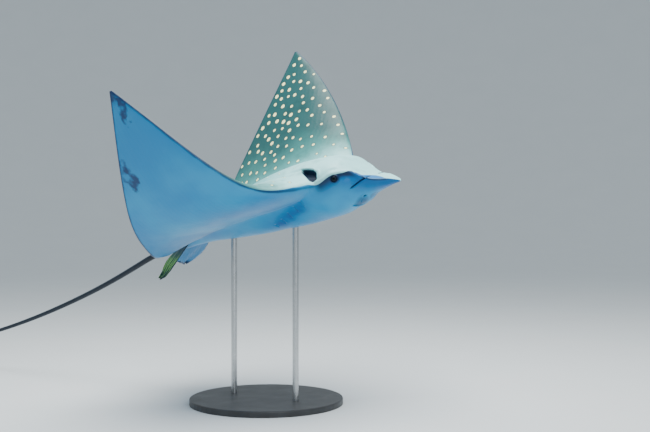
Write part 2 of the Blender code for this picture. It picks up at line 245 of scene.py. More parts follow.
def raiseWing(station, side, height, mid, which):
    # bend the flat disc up about the hinge line, keeping its lengths
    length = wing["halfSpan"] - wing["hinge"]
    v = np.clip((side - wing["hinge"]) / length, 0, 1)
    lift = 1 + wing["rearLift"][which] * (station - wing["hingeStation"])
    steps = (np.arange(24) + 0.5) / 24
    angles = smoothCurve(wing["angleAt"], wing["angles"][which], v[..., None] * steps) * lift[..., None]
    angle = smoothCurve(wing["angleAt"], wing["angles"][which], v) * lift
    y = np.minimum(side, wing["hinge"]) + np.cos(angles).mean(-1) * v * length
    z = mid + np.sin(angles).mean(-1) * v * length
    return y - (height - mid) * np.sin(angle), z + (height - mid) * np.cos(angle)


def bank(points):
    # from the ray's own axes, in shares of the span, to its place on the stand, in metres
    turn = np.array(Matrix.Rotation(-ray["noseUp"], 3, "Y") @ Matrix.Rotation(ray["leftUp"], 3, "X"))
    return np.asarray(points) * ray["span"] @ turn.T + np.array(ray["heldAt"])


def bendTail(station, side, height):
    # a point of the straight tail, carried onto the bent one
    share = np.clip((station - body["end"]) * ray["span"] / tail["length"], 0, 1)
    line = np.stack([np.interp(share, tailShares, tailPoints[:, k]) for k in range(3)], -1)
    along = np.stack([np.interp(share, tailShares, tailHeadings[:, k]) for k in range(3)], -1)
    along /= np.linalg.norm(along, axis=-1, keepdims=True)
    left = np.cross((0, 0, 1), along) * -1
    left /= np.linalg.norm(left, axis=-1, keepdims=True)
    up = np.cross(left, along)
    up *= np.sign(up[:, 2:3])
    rootMid = float(discShape(np.array(body["end"]), np.array(0.0))[0])
    root = np.array([ray["heldStation"] - body["end"], 0, rootMid])
    return root + line / ray["span"] + left * side[:, None] + up * (height - rootMid)[:, None]


def pose(station, side, height, mid):
    # from the flat disc to the ray on its stand; side is negative on the right
    points = np.zeros((len(station), 3))
    for which, chosen in (("left", side >= 0), ("right", side < 0)):
        y, z = raiseWing(station[chosen], np.abs(side[chosen]), height[chosen], mid[chosen], which)
        sign = 1 if which == "left" else -1
        points[chosen] = np.stack([ray["heldStation"] - station[chosen], sign * y, z], -1)
    behind = station > body["end"]
    points[behind] = bendTail(station[behind], side[behind], height[behind])
    return bank(points)


def makeActive(piece, *others):
    bpy.ops.object.select_all(action="DESELECT")
    for chosen in (piece, *others):
        chosen.select_set(True)
    bpy.context.view_layer.objects.active = piece


def useTool(piece, kind, chosen, tool, **options):
    # one edit mode tool on the vertices, edges or polygons that are chosen
    mesh = piece.data
    for each in ("vertices", "edges", "polygons"):
        group = getattr(mesh, each)
        group.foreach_set("select", np.broadcast_to(chosen if each == kind else False, len(group)).copy())
    makeActive(piece)
    bpy.context.tool_settings.mesh_select_mode = [kind == each for each in ("vertices", "edges", "polygons")]
    bpy.ops.object.mode_set(mode="EDIT")
    tool(**options)
    bpy.ops.object.mode_set(mode="OBJECT")


def mergeClose(piece, distance):
    useTool(piece, "vertices", True, bpy.ops.mesh.remove_doubles, threshold=distance)


def faceOut(piece):
    useTool(piece, "polygons", True, bpy.ops.mesh.normals_make_consistent, inside=False)


def readArray(group, name, width, kind=np.float32):
    # one value, or a row of them, for each element of a mesh
    values = np.empty(len(group) * width, kind)
    group.foreach_get(name, values)
    return values.reshape(-1, width) if width > 1 else values


def coordinates(mesh):
    return readArray(mesh.vertices, "co", 3).astype(float)


def setCoordinates(mesh, points):
    mesh.vertices.foreach_set("co", np.asarray(points, np.float32).reshape(-1))
    mesh.update()


def dress(piece, finish):
    piece.data.materials.clear()
    piece.data.materials.append(finish)


def sheetFrom(name, points):
    # a grid whose vertices are put at an array of rows and columns of points
    rows, columns = points.shape[:2]
    bpy.ops.object.select_all(action="DESELECT")
    bpy.ops.mesh.primitive_grid_add(x_subdivisions=columns - 1, y_subdivisions=rows - 1, size=1)
    sheet = bpy.context.object
    sheet.name = name
    setCoordinates(sheet.data, points.reshape(-1, 3))
    return sheet


def closeEnds(rows):
    # the first and last row drawn in to a point each, so that a sheet wound round closes there
    return [np.repeat(row.mean(0)[None], len(row), 0) for row in (rows[0], rows[-1])]


def thinOut(sheet, columns, chosen):
    # dissolve the edges that run along some rows or columns of a sheet
    ends = readArray(sheet.data.edges, "vertices", 2, np.int32)
    row, column = np.divmod(np.sort(ends, 1), columns)
    useTool(sheet, "edges", chosen(row, column), bpy.ops.mesh.dissolve_edges, use_verts=True)


def joinInto(first, others):
    makeActive(first, *others)
    bpy.ops.object.join()
    return first


def bodyRows():
    # stations across the body; those between the wing's origin and its notch are the wing's own rows too
    nose = cut["noseEnd"] * np.linspace(0, 1, cut["noseRows"])**1.7
    head = np.arange(cut["noseEnd"] + cut["headStep"], wing["origin"] - cut["headStep"] / 2, cut["headStep"])
    front = wing["origin"] + cut["wingFront"] * np.linspace(0, 1, 8)**2
    neck = np.arange(front[-1] + cut["headStep"], cut["headEnd"], cut["headStep"])
    trunk, hips = [np.linspace(start, end, round((end - start) / cut["bodyStep"]))[1:]
                   for start, end in ((neck[-1], wing["notch"][0]), (wing["notch"][0], body["end"]))]
    behind = body["end"] + tail["length"] / ray["span"] * np.linspace(0, 1, cut["tailRows"])[1:]**1.25
    return np.concatenate([nose, head, front, neck, trunk, hips, behind])


def ringSides(station, under):
    # distances from the midline that part one ring evenly from the midline to the side
    side = halfWidth(station) * np.sin(np.linspace(0, math.pi / 2, 120))
    mid, up, down = flatShape(np.full(len(side), station), side)
    height = mid - down if under else mid + up
    along = np.concatenate([[0], np.cumsum(np.hypot(np.diff(side), np.diff(height)))])
    return np.interp(np.linspace(0, along[-1], cut["ring"] + 1), along, side)


def bodySheet(under):
    rows = bodyRows()
    half = np.array([ringSides(s, under) for s in rows])
    side = np.concatenate([-half[:, :0:-1], half], 1)
    station = np.repeat(rows[:, None], side.shape[1], 1)
    layer = np.full(side.shape, -cut["layer"] if under else cut["layer"])
    closed = (rows <= wing["origin"] + tiny) | (rows >= wing["notch"][0] - tiny)
    layer[closed, 0] = layer[closed, -1] = 0
    layer[0] = layer[-1] = 0
    sheet = sheetFrom("body", np.stack([station, side, layer], -1))
    trunkRow = np.searchsorted(rows, cut["trunkThin"])
    tailRow = np.searchsorted(rows, body["end"])
    columns = side.shape[1]
    thinOut(sheet, columns, lambda row, column: (column[:, 0] == column[:, 1]) & (
        ((column[:, 0] % 2 == 1) & (row[:, 0] >= trunkRow))
        | ((column[:, 0] % 4 == 2) & (row[:, 0] >= tailRow))))
    return sheet


def wingSheet(which, under):
    rows = bodyRows()
    root = rows[(rows > wing["origin"] - tiny) & (rows < wing["notch"][0] + tiny)]
    rear = wing["rear"] - (wing["rear"] - wing["notch"][0]) * np.linspace(1, 0, 18)[1:]**1.4
    root = np.concatenate([root, rear])
    chord = (root - wing["origin"]) / (wing["rear"] - wing["origin"])
    margin = (root - wing["notch"][0]) / (wing["rear"] - wing["notch"][0])
    inner = wing["notch"][1] + (wing["root"] - wing["notch"][1]) * margin
    rootSide = np.where(root < wing["notch"][0] + tiny, bodyCurve(root, "half"), inner)
    v = np.concatenate([np.linspace(0, 0.97, cut["wingColumns"] - len(cut["tipColumns"])), cut["tipColumns"]])
    side = wing["root"] + (wing["halfSpan"] - wing["root"]) * v
    station = frontEdge(side) + (rearEdge(side) - frontEdge(side)) * chord[:, None]
    side = side + (1 - v)**3 * (rootSide - wing["root"])[:, None]
    layer = np.full(side.shape, -cut["layer"] if under else cut["layer"])
    layer[0] = layer[-1] = layer[:, -1] = 0
    layer[root > wing["notch"][0] - tiny, 0] = 0
    sign = 1 if which == "left" else -1
    sheet = sheetFrom("wing", np.stack([station, sign * side, layer], -1))
    thinColumn = np.searchsorted(v, cut["wingThin"])
    last = len(root) - 1
    thinOut(sheet, len(v), lambda row, column: (row[:, 0] == row[:, 1]) & (row[:, 0] % 2 == 1)
            & (row[:, 0] < last - 3) & (row[:, 0] > 4) & (column[:, 0] >= thinColumn))
    return sheet


def flatRay():
    # top and underside of the whole ray, laid flat, joined at their outline
    sheets = [bodySheet(False), bodySheet(True)]
    sheets += [wingSheet(which, under) for which in ("left", "right") for under in (False, True)]
    skin = joinInto(sheets[0], sheets[1:])
    skin.name = "raySkin"
    mergeClose(skin, 2e-6)
    print("flat sheet:", len(skin.data.vertices), "vertices")
    return skin


def axesShape(mesh):
    # station, side, mid level and height of each vertex of the flat sheet
    station, side, layer = coordinates(mesh).T
    mid, up, down = flatShape(station, np.abs(side))
    height = mid + np.where(layer > 1e-6, up, 0) - np.where(layer < -1e-6, down, 0)
    return station, side, mid, height


# each crease follows a path of station, side and height; a negative rise cuts in, and ends tells how much
# of each end fades out; rise and width are in mm, each path lies on one side and is mirrored
creases = {
    "brow": {
        "path": ((0.15, 0.0782, 0.04), (0.138, 0.0768, 0.0425), (0.1265, 0.0748, 0.0445),
                 (0.113, 0.0715, 0.0495), (0.1025, 0.068, 0.05), (0.093, 0.06, 0.049),
                 (0.0845, 0.0515, 0.0475), (0.0755, 0.0424, 0.0432), (0.0685, 0.0351, 0.0372)),
        "rise": 2.4, "width": 5, "ends": (0.25, 0.35),
    },
    "cheek": {
        "path": ((0.14, 0.0765, 0.03), (0.126, 0.0745, 0.031), (0.114, 0.0715, 0.033),
                 (0.098, 0.0635, 0.035), (0.088, 0.0545, 0.036), (0.079, 0.047, 0.034),
                 (0.071, 0.042, 0.027)),
        "rise": -3.2, "width": 7.5, "ends": (0.35, 0.3),
    },
    "lidFold": {
        "path": ((0.095, 0.06, 0.056), (0.1045, 0.0655, 0.0575), (0.1145, 0.0681, 0.056)),
        "rise": -1.9, "width": 4.6, "ends": (0.35, 0.35),
    },
    "browFold": {
        "path": ((0.079, 0.0402, 0.0466), (0.0755, 0.0385, 0.044), (0.071, 0.0365, 0.04)),
        "rise": -1.5, "width": 3, "ends": (0.3, 0.3),
    },
    "lobeGroove": {
        "path": ((0.091, 0.051, 0.008), (0.0885, 0.0495, 0.0106), (0.0815, 0.0451, 0.0144),
                 (0.073, 0.0413, 0.018), (0.063, 0.0381, 0.0219), (0.0545, 0.037, 0.024),
                 (0.0535, 0.0264, 0.0256), (0.0525, 0.016, 0.0252), (0.051, 0.009, 0.0245)),
        "rise": -4.6, "width": 2.7, "ends": (0.2, 0.42), "darkEnds": (0.15, 0.13),
    },
    "foreheadLip": {
        "path": ((0.088, 0.052, 0.016), (0.08, 0.0475, 0.021), (0.072, 0.043, 0.025),
                 (0.064, 0.0385, 0.029), (0.06, 0.03, 0.03)),
        "rise": 1.4, "width": 4.6, "ends": (0.3, 0.6),
    },
    "lobeRim": {
        "path": ((0.058, 0.0368, 0.019), (0.0485, 0.0366, 0.0191), (0.0395, 0.0356, 0.0182),
                 (0.03, 0.028, 0.015), (0.022, 0.0205, 0.0118), (0.015, 0.015, 0.0092),
                 (0.009, 0.0108, 0.0064)),
        "rise": 1.2, "width": 2.2, "ends": (0.25, 0.2),
    },
    "lobeHollow": {
        "path": ((0.0445, 0.027, 0.0205), (0.0385, 0.019, 0.0185), (0.03, 0.014, 0.0155),
                 (0.022, 0.01, 0.0125)),
        "rise": -1.2, "width": 5.5, "ends": (0.3, 0.3),
    },
    "underRim": {
        "path": ((0.052, 0.0355, 0.012), (0.042, 0.034, 0.01), (0.03, 0.027, 0.008), (0.02, 0.018, 0.005),
                 (0.012, 0.012, 0.003)),
        "rise": -1.6, "width": 5, "ends": (0.25, 0.25),
    },
}


def smoothPath(points, count=60):
    # a smooth line through a few points
    points = np.asarray(points, float)
    at = np.concatenate([[0], np.cumsum(np.linalg.norm(np.diff(points, axis=0), axis=1))])
    where = np.linspace(0, at[-1], count)
    return np.stack([smoothCurve(at, points[:, k], where) for k in range(points.shape[1])], -1)


def distanceToPath(points, path):
    # distance from each point to a line, and how far along the line the nearest place is, 0 to 1
    best = np.full(len(points), 1e9)
    share = np.zeros(len(points))
    for i in range(len(path) - 1):
        run = path[i + 1] - path[i]
        t = np.clip(((points - path[i]) @ run) / (run @ run), 0, 1)
        far = np.linalg.norm(points - path[i] - t[:, None] * run, axis=1)
        nearer = far < best
        best[nearer] = far[nearer]
        share[nearer] = (i + t[nearer]) / (len(path) - 1)
    return best, share


def onUnderside(path, back=False):
    # stations and distances from the midline, given their heights on the underside, or on the back
    station, side = np.asarray(path, float).T
    mid, up, down = flatShape(station, side)
    return np.stack([station, side, mid + up if back else mid - down], -1)


def onBody(path):
    # each point moved to the nearest place of the body's ring at its station
    turn = np.linspace(0, math.pi / 2, 300)
    settled = []
    for station, side, height in path:
        ring = halfWidth(np.array(station)) * np.sin(turn)
        mid, up, down = flatShape(np.full(len(ring), station), ring)
        places = np.concatenate([np.stack([ring, mid + up], -1), np.stack([ring, mid - down], -1)])
        settled.append((station, *places[np.hypot(*(places - (side, height)).T).argmin()]))
    return settled


for crease in creases.values():
    crease["path"] = onBody(crease["path"])

# only a crease deeper and narrower than this gets painted shade inside, in mm
darkCut = {"rise": -2.4, "width": 4}


def addCrease(name, path, rise, width, ends=(0.2, 0.2)):
    creases[name] = {"path": path, "rise": rise, "width": width, "ends": ends}


# the underside: a straight mouth behind the nostrils, a fringed curtain between them, five gills a side
mouth = {"station": 0.0975, "corner": 0.031, "bow": 0.006}
arc = np.linspace(0, 1, 7)
mouthPath = np.stack([mouth["station"] + mouth["bow"] * arc**2, mouth["corner"] * arc], -1)
addCrease("mouth", onUnderside(mouthPath), -6.5, 1.9, (0, 0.12))
addCrease("lowerLip", onUnderside(mouthPath + (0.0042, 0)), 1.7, 3.4, (0, 0.2))
addCrease("upperLip", onUnderside(mouthPath - (0.0034, 0)), 1.3, 2.6, (0, 0.2))
curtain = ((0.0925, 0), (0.0928, 0.009), (0.0918, 0.017), (0.089, 0.0225), (0.083, 0.0255), (0.0765, 0.0262))
addCrease("curtain", onUnderside(curtain), -1.2, 2.0, (0, 0.5))
addCrease("curtainEdge", onUnderside(np.asarray(curtain) * (1, 0.93) - (0.0026, 0)), 0.6, 2.4, (0, 0.5))
addCrease("nostril", onUnderside(((0.077, 0.027), (0.0725, 0.025), (0.069, 0.0222))), -5.0, 2.6, (0.35, 0.35))
addCrease("nostrilRim", onUnderside(((0.08, 0.031), (0.0735, 0.029), (0.067, 0.0245))), 1.4, 2.4, (0.3, 0.3))

gills = {"first": (0.1900, 0.0725), "last": (0.2880, 0.0385), "length": 24, "slant": 0.32, "swing": 1.6}
gills["middles"] = np.linspace(gills["first"], gills["last"], 5)
for i, middle in enumerate(gills["middles"]):
    t = np.linspace(-1, 1, 7)
    longer = gills["length"] * (1 - 0.07 * abs(i - 1)) * mm / 2
    across = middle[1] + t * longer / math.hypot(1, gills["slant"])
    along = middle[0] - t * longer * gills["slant"] + gills["swing"] * mm * np.sin(t * 2.6)
    slit = np.stack([along, across], -1)
    addCrease(f"gill{i}", onUnderside(slit), -3.6, 1.9, (0.3, 0.3))
    addCrease(f"gillFlap{i}", onUnderside(slit - (3.4 * mm, 0)), 1.1, 3.0, (0.3, 0.3))
    addCrease(f"gillBed{i}", onUnderside(slit + (3.4 * mm, 0)), -0.9, 3.0, (0.25, 0.25))

addCrease("vent", onUnderside(((0.528, 0), (0.536, 0), (0.545, 0))), -3.0, 1.6)
addCrease("shoulder", onUnderside(((0.205, 0.0775), (0.250, 0.0830), (0.320, 0.0835), (0.400, 0.0705),
                                   (0.470, 0.0510)), back=True), -2.2, 13, (0.3, 0.3))

eye = {
    "centre": (0.1045, 0.0640, 0.0392),
    "gaze": (-0.22, 0.97, 0.02),      # forward is a smaller station
    "radius": 11.8,
    "lid": 1.6,
    "opening": (9.0, 8.2),            # half length along the head, half height
    "openEdge": (1.16, 0.90),         # in shares of the opening, from the lid to the gap
    # painted shade round the opening: where it starts and is full, in shares of the opening, and how dark
    "shadeEdge": (2.0, 1.10),
    "shade": 0.80,
    "lidReach": (25.8, 9.8),          # where the lid's swelling starts and is full, from the middle
    "socket": 3.5,                    # how far inside the ball the gap's floor lies
    "soften": 2.4,
    "near": (40, -25),                # mm across and in, short of the other side of the head
    "cornea": (0.07, 0.45),           # its height and spread, in shares of the radius
}

spiracle = {
    "centre": (0.155, 0.0705, 0.0575),
    "outward": (0, 0.70, 0.714),
    # back along the head, up the slope, in mm
    "corners": ((40, 36), (-7, -17), (-19, -11), (-18, 5), (-6, 17)),
    "round": 4.5,
    "depth": 22,
    "wall": 6.5,
    # where the painted shade inside starts and is full, in mm inside the rim
    "darkFrom": (-1.4, 2.6),
    "lean": 0.25,                     # the walls run forward as they go in
    "runOut": (20, 44),               # where the rear corner gets shallow, and where its painted shade fades
    "paleOut": (24, 46),
    "shallow": 0.80,                  # how much of the depth and of the painted shade goes there
    "pale": 0.85,
    "near": (60, -30),                # mm across and in, short of the other side of the head
}
trough = ((0.184, 0.056, 0.076), (0.196, 0.0525, 0.077), (0.2095, 0.0499, 0.0766), (0.228, 0.049, 0.077))
frontRim = ((0.144, 0.061, 0.069), (0.134, 0.068, 0.061), (0.132, 0.073, 0.052), (0.137, 0.077, 0.043))
addCrease("spiracleTrough", onBody(trough), -3.4, 6, (0.1, 0.5))
addCrease("spiracleRim", onBody(frontRim), 1.6, 3.6, (0.35, 0.4))


def fadeEnds(share, ends):
    start, stop = ends
    return easeIn(0, max(start, tiny), share) * easeIn(0, max(stop, tiny), 1 - share)


def creaseShift(points):
    # how far each point moves along its normal, in shares of the span, and how much painted shade it gets
    # inside a narrow cut
    shift = np.zeros(len(points))
    shade = np.zeros(len(points))
    for crease in creases.values():
        path = smoothPath(crease["path"])
        width = crease["width"] * mm
        box = (points > path.min(0) - 3 * width).all(1) & (points < path.max(0) + 3 * width).all(1)
        near = np.flatnonzero(box)
        if not len(near):
            continue
        far, share = distanceToPath(points[near], path)
        form = np.exp(-(far / width)**2)
        shift[near] += crease["rise"] * mm * form * fadeEnds(share, crease["ends"])
        if crease["rise"] < darkCut["rise"] and crease["width"] < darkCut["width"]:
            dark = form * fadeEnds(share, crease.get("darkEnds", crease["ends"]))
            shade[near] = np.maximum(shade[near], dark**1.5)
    return shift, shade


def insideCorners(u, v, corners, roundness):
    # distance inside a rounded outline of corners, in their own units; negative outside
    inside = np.full(len(u), 1e9)
    nearest = np.full(len(u), 1e9)
    for (ax, ay), (bx, by) in zip(corners, corners[1:] + corners[:1]):
        length = math.hypot(bx - ax, by - ay)
        t = np.clip(((u - ax) * (bx - ax) + (v - ay) * (by - ay)) / length**2, 0, 1)
        nearest = np.minimum(nearest, np.hypot(u - ax - t * (bx - ax), v - ay - t * (by - ay)))
        inside = np.minimum(inside, ((by - ay) * (u - ax) - (bx - ax) * (v - ay)) / length)
    return np.where(inside > 0, nearest, -nearest) + roundness


def openSpiracle(points):
    # the wide opening behind the eye: a soft rim, steep walls and a floor, with painted shade inside
    outward = np.array(spiracle["outward"]) / np.linalg.norm(spiracle["outward"])
    back = np.array((1.0, 0, 0))
    upward = np.cross(outward, back)
    upward *= np.sign(upward[2])
    q = (points - spiracle["centre"]) / mm
    u, v, h = q @ back, q @ upward, q @ outward
    near = (np.hypot(u, v) < spiracle["near"][0]) & (h > spiracle["near"][1])
    depth = insideCorners(u, v, spiracle["corners"], spiracle["round"])
    sink = easeIn(-1.5, spiracle["wall"], depth) * near
    dark = easeIn(*spiracle["darkFrom"], depth) * near
    sink *= 1 - spiracle["shallow"] * easeIn(*spiracle["runOut"], u)
    moved = points - (sink * spiracle["depth"] * mm)[:, None] * (outward - spiracle["lean"] * back)
    return moved, dark * (1 - spiracle["pale"] * easeIn(*spiracle["paleOut"], u))


def gazeAxes():
    gaze = np.array(eye["gaze"]) / np.linalg.norm(eye["gaze"])
    ahead = np.array((-1.0, 0, 0)) + gaze[0] * gaze
    ahead /= np.linalg.norm(ahead)
    upward = np.cross(gaze, ahead)
    return gaze, ahead, upward * np.sign(upward[2])


def setEye(points):
    # lids that hug the eyeball, an opening through which it shows, and painted shade in the opening and round
    # the lids
    gaze, ahead, upward = gazeAxes()
    q = (points - eye["centre"]) / mm
    u, v, h = q @ ahead, q @ upward, q @ gaze
    radius = eye["radius"]
    rho = np.hypot(u, v)
    near = (rho < eye["near"][0]) & (h > eye["near"][1])
    outer = np.sqrt(np.maximum((radius + eye["lid"])**2 - rho**2, 0))
    lidded = (h + outer + np.hypot(h - outer, eye["soften"])) / 2
    lidded = h + (lidded - h) * easeIn(*eye["lidReach"], rho)
    opening = np.hypot(u / eye["opening"][0], (v + 0.3) / eye["opening"][1])
    behind = np.sqrt(np.maximum(radius**2 - rho**2, 0)) - eye["socket"]
    through = easeIn(*eye["openEdge"], opening)
    target = np.where(near, lidded + (behind - lidded) * through, h)
    dark = np.maximum(through, eye["shade"] * easeIn(*eye["shadeEdge"], opening))
    return points + ((target - h) * mm)[:, None] * gaze, dark * near


class Wire:
    # a socket of a material, so that sums on sockets can be written as sums
    def __init__(self, tree, socket=None):
        self.tree = tree
        self.socket = socket

    def node(self, kind, settings=None, inputs=None, output=0):
        made = self.tree.nodes.new(kind)
        for name, value in (settings or {}).items():
            setattr(made, name, value)
        for name, value in (inputs or {}).items():
            if isinstance(value, Wire):
                self.tree.links.new(value.socket, made.inputs[name])
            else:
                made.inputs[name].default_value = value
        return Wire(self.tree, made.outputs[output])

    def maths(self, operation, *values):
        return self.node("ShaderNodeMath", {"operation": operation}, dict(enumerate(values)))

    def size(self):
        return self.maths("ABSOLUTE", self)

    def wave(self):
        return self.maths("SINE", self)

    def most(self, other):
        return self.maths("MAXIMUM", self, other)

    def axis(self, which):
        return self.node("ShaderNodeSeparateXYZ", {}, {"Vector": self}, output="XYZ".index(which))

    def between(self, low, high):
        # 0 at low, 1 at high, smooth between
        return self.node("ShaderNodeMapRange", {"interpolation_type": "SMOOTHSTEP"},
                         {"Value": self, "From Min": low, "From Max": high})

    def within(self, low, lowFull, highFull, high):
        # 1 between the inner two, fading to 0 at the outer two
        return self.between(low, lowFull) * self.between(high, highFull)

    def far(self, other):
        # distance between two vectors
        return self.node("ShaderNodeVectorMath", {"operation": "DISTANCE"}, {0: self, 1: other}, output=1)

    def blend(self, first, second, how="MIX"):
        # two colours mixed by this value
        return self.node("ShaderNodeMix", {"data_type": "RGBA", "blend_type": how},
                         {0: self, 6: first, 7: second}, output=2)


def writeAs(operation, swapped):
    def method(self, other):
        return self.maths(operation, *((other, self) if swapped else (self, other)))
    return method


for word, operation in (("add", "ADD"), ("sub", "SUBTRACT"), ("mul", "MULTIPLY"), ("truediv", "DIVIDE"),
                        ("pow", "POWER")):
    setattr(Wire, f"__{word}__", writeAs(operation, False))
    setattr(Wire, f"__r{word}__", writeAs(operation, True))


def newFinish(name):
    finish = bpy.data.materials.new(name)
    finish.use_nodes = True
    return finish, Wire(finish.node_tree)


def feed(finish, **sockets):
    shader = finish.node_tree.nodes["Principled BSDF"]
    for name, value in sockets.items():
        socket = shader.inputs[name.replace("_", " ")]
        if isinstance(value, Wire):
            finish.node_tree.links.new(value.socket, socket)
        else:
            socket.default_value = value


def ownPlace(wire):
    return wire.node("ShaderNodeTexCoord", output=3)


def grain(wire, place, scale, detail):
    # a noise value, 0 to 1, mostly close to one half
    return wire.node("ShaderNodeTexNoise", {}, {"Vector": place, "Scale": scale, "Detail": detail})


def bump(wire, height, distance, strength=1.0, over=None):
    inputs = {"Height": height, "Distance": distance, "Strength": strength}
    if over:
        inputs["Normal"] = over
    return wire.node("ShaderNodeBump", {}, inputs)


def refine(skin, distance, widest, spiracleToo):
    # cut the faces finer where they lie closer than this to a narrow crease or an opening
    station, side, layer = readArray(skin.data.polygons, "center", 3).astype(float).T
    mid, up, down = flatShape(station, np.abs(side))
    middle = np.stack([station, np.abs(side), mid + np.where(layer > 0, up, -down)], -1)
    chosen = np.linalg.norm(middle - eye["centre"], axis=1) < (eye["radius"] + 1 + 2 * distance) * mm
    for crease in creases.values():
        if crease["width"] > widest:
            continue
        path = smoothPath(crease["path"], 24)
        near = ((middle > path.min(0) - 0.03) & (middle < path.max(0) + 0.03)).all(1)
        rows = np.flatnonzero(near)
        if len(rows):
            far = distanceToPath(middle[rows], path)[0]
            chosen[rows] |= far < (distance + crease["width"]) * mm
    if spiracleToo:
        q = (middle - spiracle["centre"]) / mm
        rim = np.abs(insideCorners(q[:, 0], q[:, 2] * 1.4, spiracle["corners"], 0)) < 4 + 2 * distance
        chosen |= rim & (np.abs(q[:, 1]) < 40) & (q[:, 2] > spiracle["near"][1])
    useTool(skin, "polygons", chosen, bpy.ops.mesh.subdivide, number_cuts=1, smoothness=0)


def outlineDistance(mesh, onOutline, points):
    # how far each vertex is from the outline where the top meets the underside
    ends = readArray(mesh.edges, "vertices", 2, np.int32)
    ends = ends[onOutline[ends].all(1)]
    between = np.linspace(0, 1, 5)[:-1, None]
    marks = np.concatenate([points[a] + (points[b] - points[a]) * between for a, b in ends])
    tree = KDTree(len(marks))
    for i, mark in enumerate(marks):
        tree.insert(mark, i)
    tree.balance()
    return np.array([tree.find(point)[2] for point in points])


def cornerPoints(mesh):
    return readArray(mesh.loops, "vertex_index", 1, np.int32)


def addMaps(mesh, **maps):
    # UV maps, with one place for each corner of each face
    for name, perCorner in maps.items():
        layer = mesh.uv_layers.new(name=name)
        layer.data.foreach_set("uv", np.asarray(perCorner, np.float32).reshape(-1))


def dropMaps(mesh):
    for layer in list(mesh.uv_layers):
        mesh.uv_layers.remove(layer)


def faceOfCorner(mesh):
    # the face that each corner belongs to, and how many corners each face has
    sizes = readArray(mesh.polygons, "loop_total", 1, np.int32)
    return np.repeat(np.arange(len(sizes)), sizes), sizes


def mapSkin(skin, points, side, layer, shade):
    # plan: metres back from the snout and out from the midline
    # coat: metres from the outline, below 0 on the underside, and how much painted shade lies there, in the
    # cuts, the spiracle and round the eye
    mesh = skin.data
    corner = cornerPoints(mesh)
    face = faceOfCorner(mesh)[0]
    under = np.bincount(face, layer[corner]) < 0
    far = outlineDistance(mesh, np.abs(layer) < 1e-6, points) * ray["span"]
    addMaps(mesh, plan=np.stack([points[:, 0], side], -1)[corner] * ray["span"],
            coat=np.stack([np.where(under[face], -1, 1) * far[corner], shade[corner]], -1))


def raySkin():
    skin = flatRay()
    for distance, widest, spiracleToo in cut["finer"]:
        refine(skin, distance, widest, spiracleToo)
    station, side, mid, height = axesShape(skin.data)
    layer = coordinates(skin.data)[:, 2]
    setCoordinates(skin.data, np.stack([station, side, height], -1))
    faceOut(skin)
    normals = readArray(skin.data.vertex_normals, "vector", 3)
    sign = np.where(side < 0, -1.0, 1.0)
    normals[:, 1] *= sign
    flat = np.stack([station, np.abs(side), height], -1)
    shift, shade = creaseShift(flat)
    points, spiracleShade = openSpiracle(flat + shift[:, None] * normals)
    points, eyeShade = setEye(points)
    mapSkin(skin, flat, side, layer, np.maximum(shade, spiracleShade + eyeShade))
    setCoordinates(skin.data, pose(points[:, 0], points[:, 1] * sign, points[:, 2], mid))
    sizes = faceOfCorner(skin.data)[1]
    useTool(skin, "polygons", sizes > 4, bpy.ops.mesh.quads_convert_to_tris, ngon_method="BEAUTY")
    faceOut(skin)
    print("skin:", len(skin.data.vertices), "vertices")
    return skin


# the fins grow out of the skin: a place is its station, side and height over the disc's middle, but the
# height of a pelvic fin's tip is over the ray's own axis
fins = {
    "pelvicRight": {"root": (0.566, -0.0200, -0.003), "tip": (0.6197, -0.0639, -0.0592), "code": 10,
                    "rootChord": (1, -0.33, 0), "tipChord": (1, -1.47, -2.52), "width": 0.042,
                    "thick": 0.0065, "wave": 0.05},
    "pelvicLeft": {"root": (0.566, 0.0200, -0.005), "tip": (0.6468, 0.0585, -0.0474), "code": 12,
                   "rootChord": (1, 0.25, 0), "tipChord": (1, 1.47, -0.23), "width": 0.080,
                   "thick": 0.0065, "wave": 0.035},
    "dorsal": {"root": (0.591, 0.0, 0.0120), "tip": (0.613, 0.0, 0.0440), "code": 14,
               "rootChord": (1, 0, 0.15), "tipChord": (1, 0, 0.15), "width": 0.036,
               "thick": 0.0055, "wave": 0.0},
}
finCut = {"rows": 34, "columns": 64}


def raySpot(station, side, height):
    # the ray's own axes, from a station, a side and a height over the disc's middle there
    mid = float(discShape(np.array(min(station, body["end"])), np.array(abs(side)))[0])
    return np.array([ray["heldStation"] - station, side, mid + height])


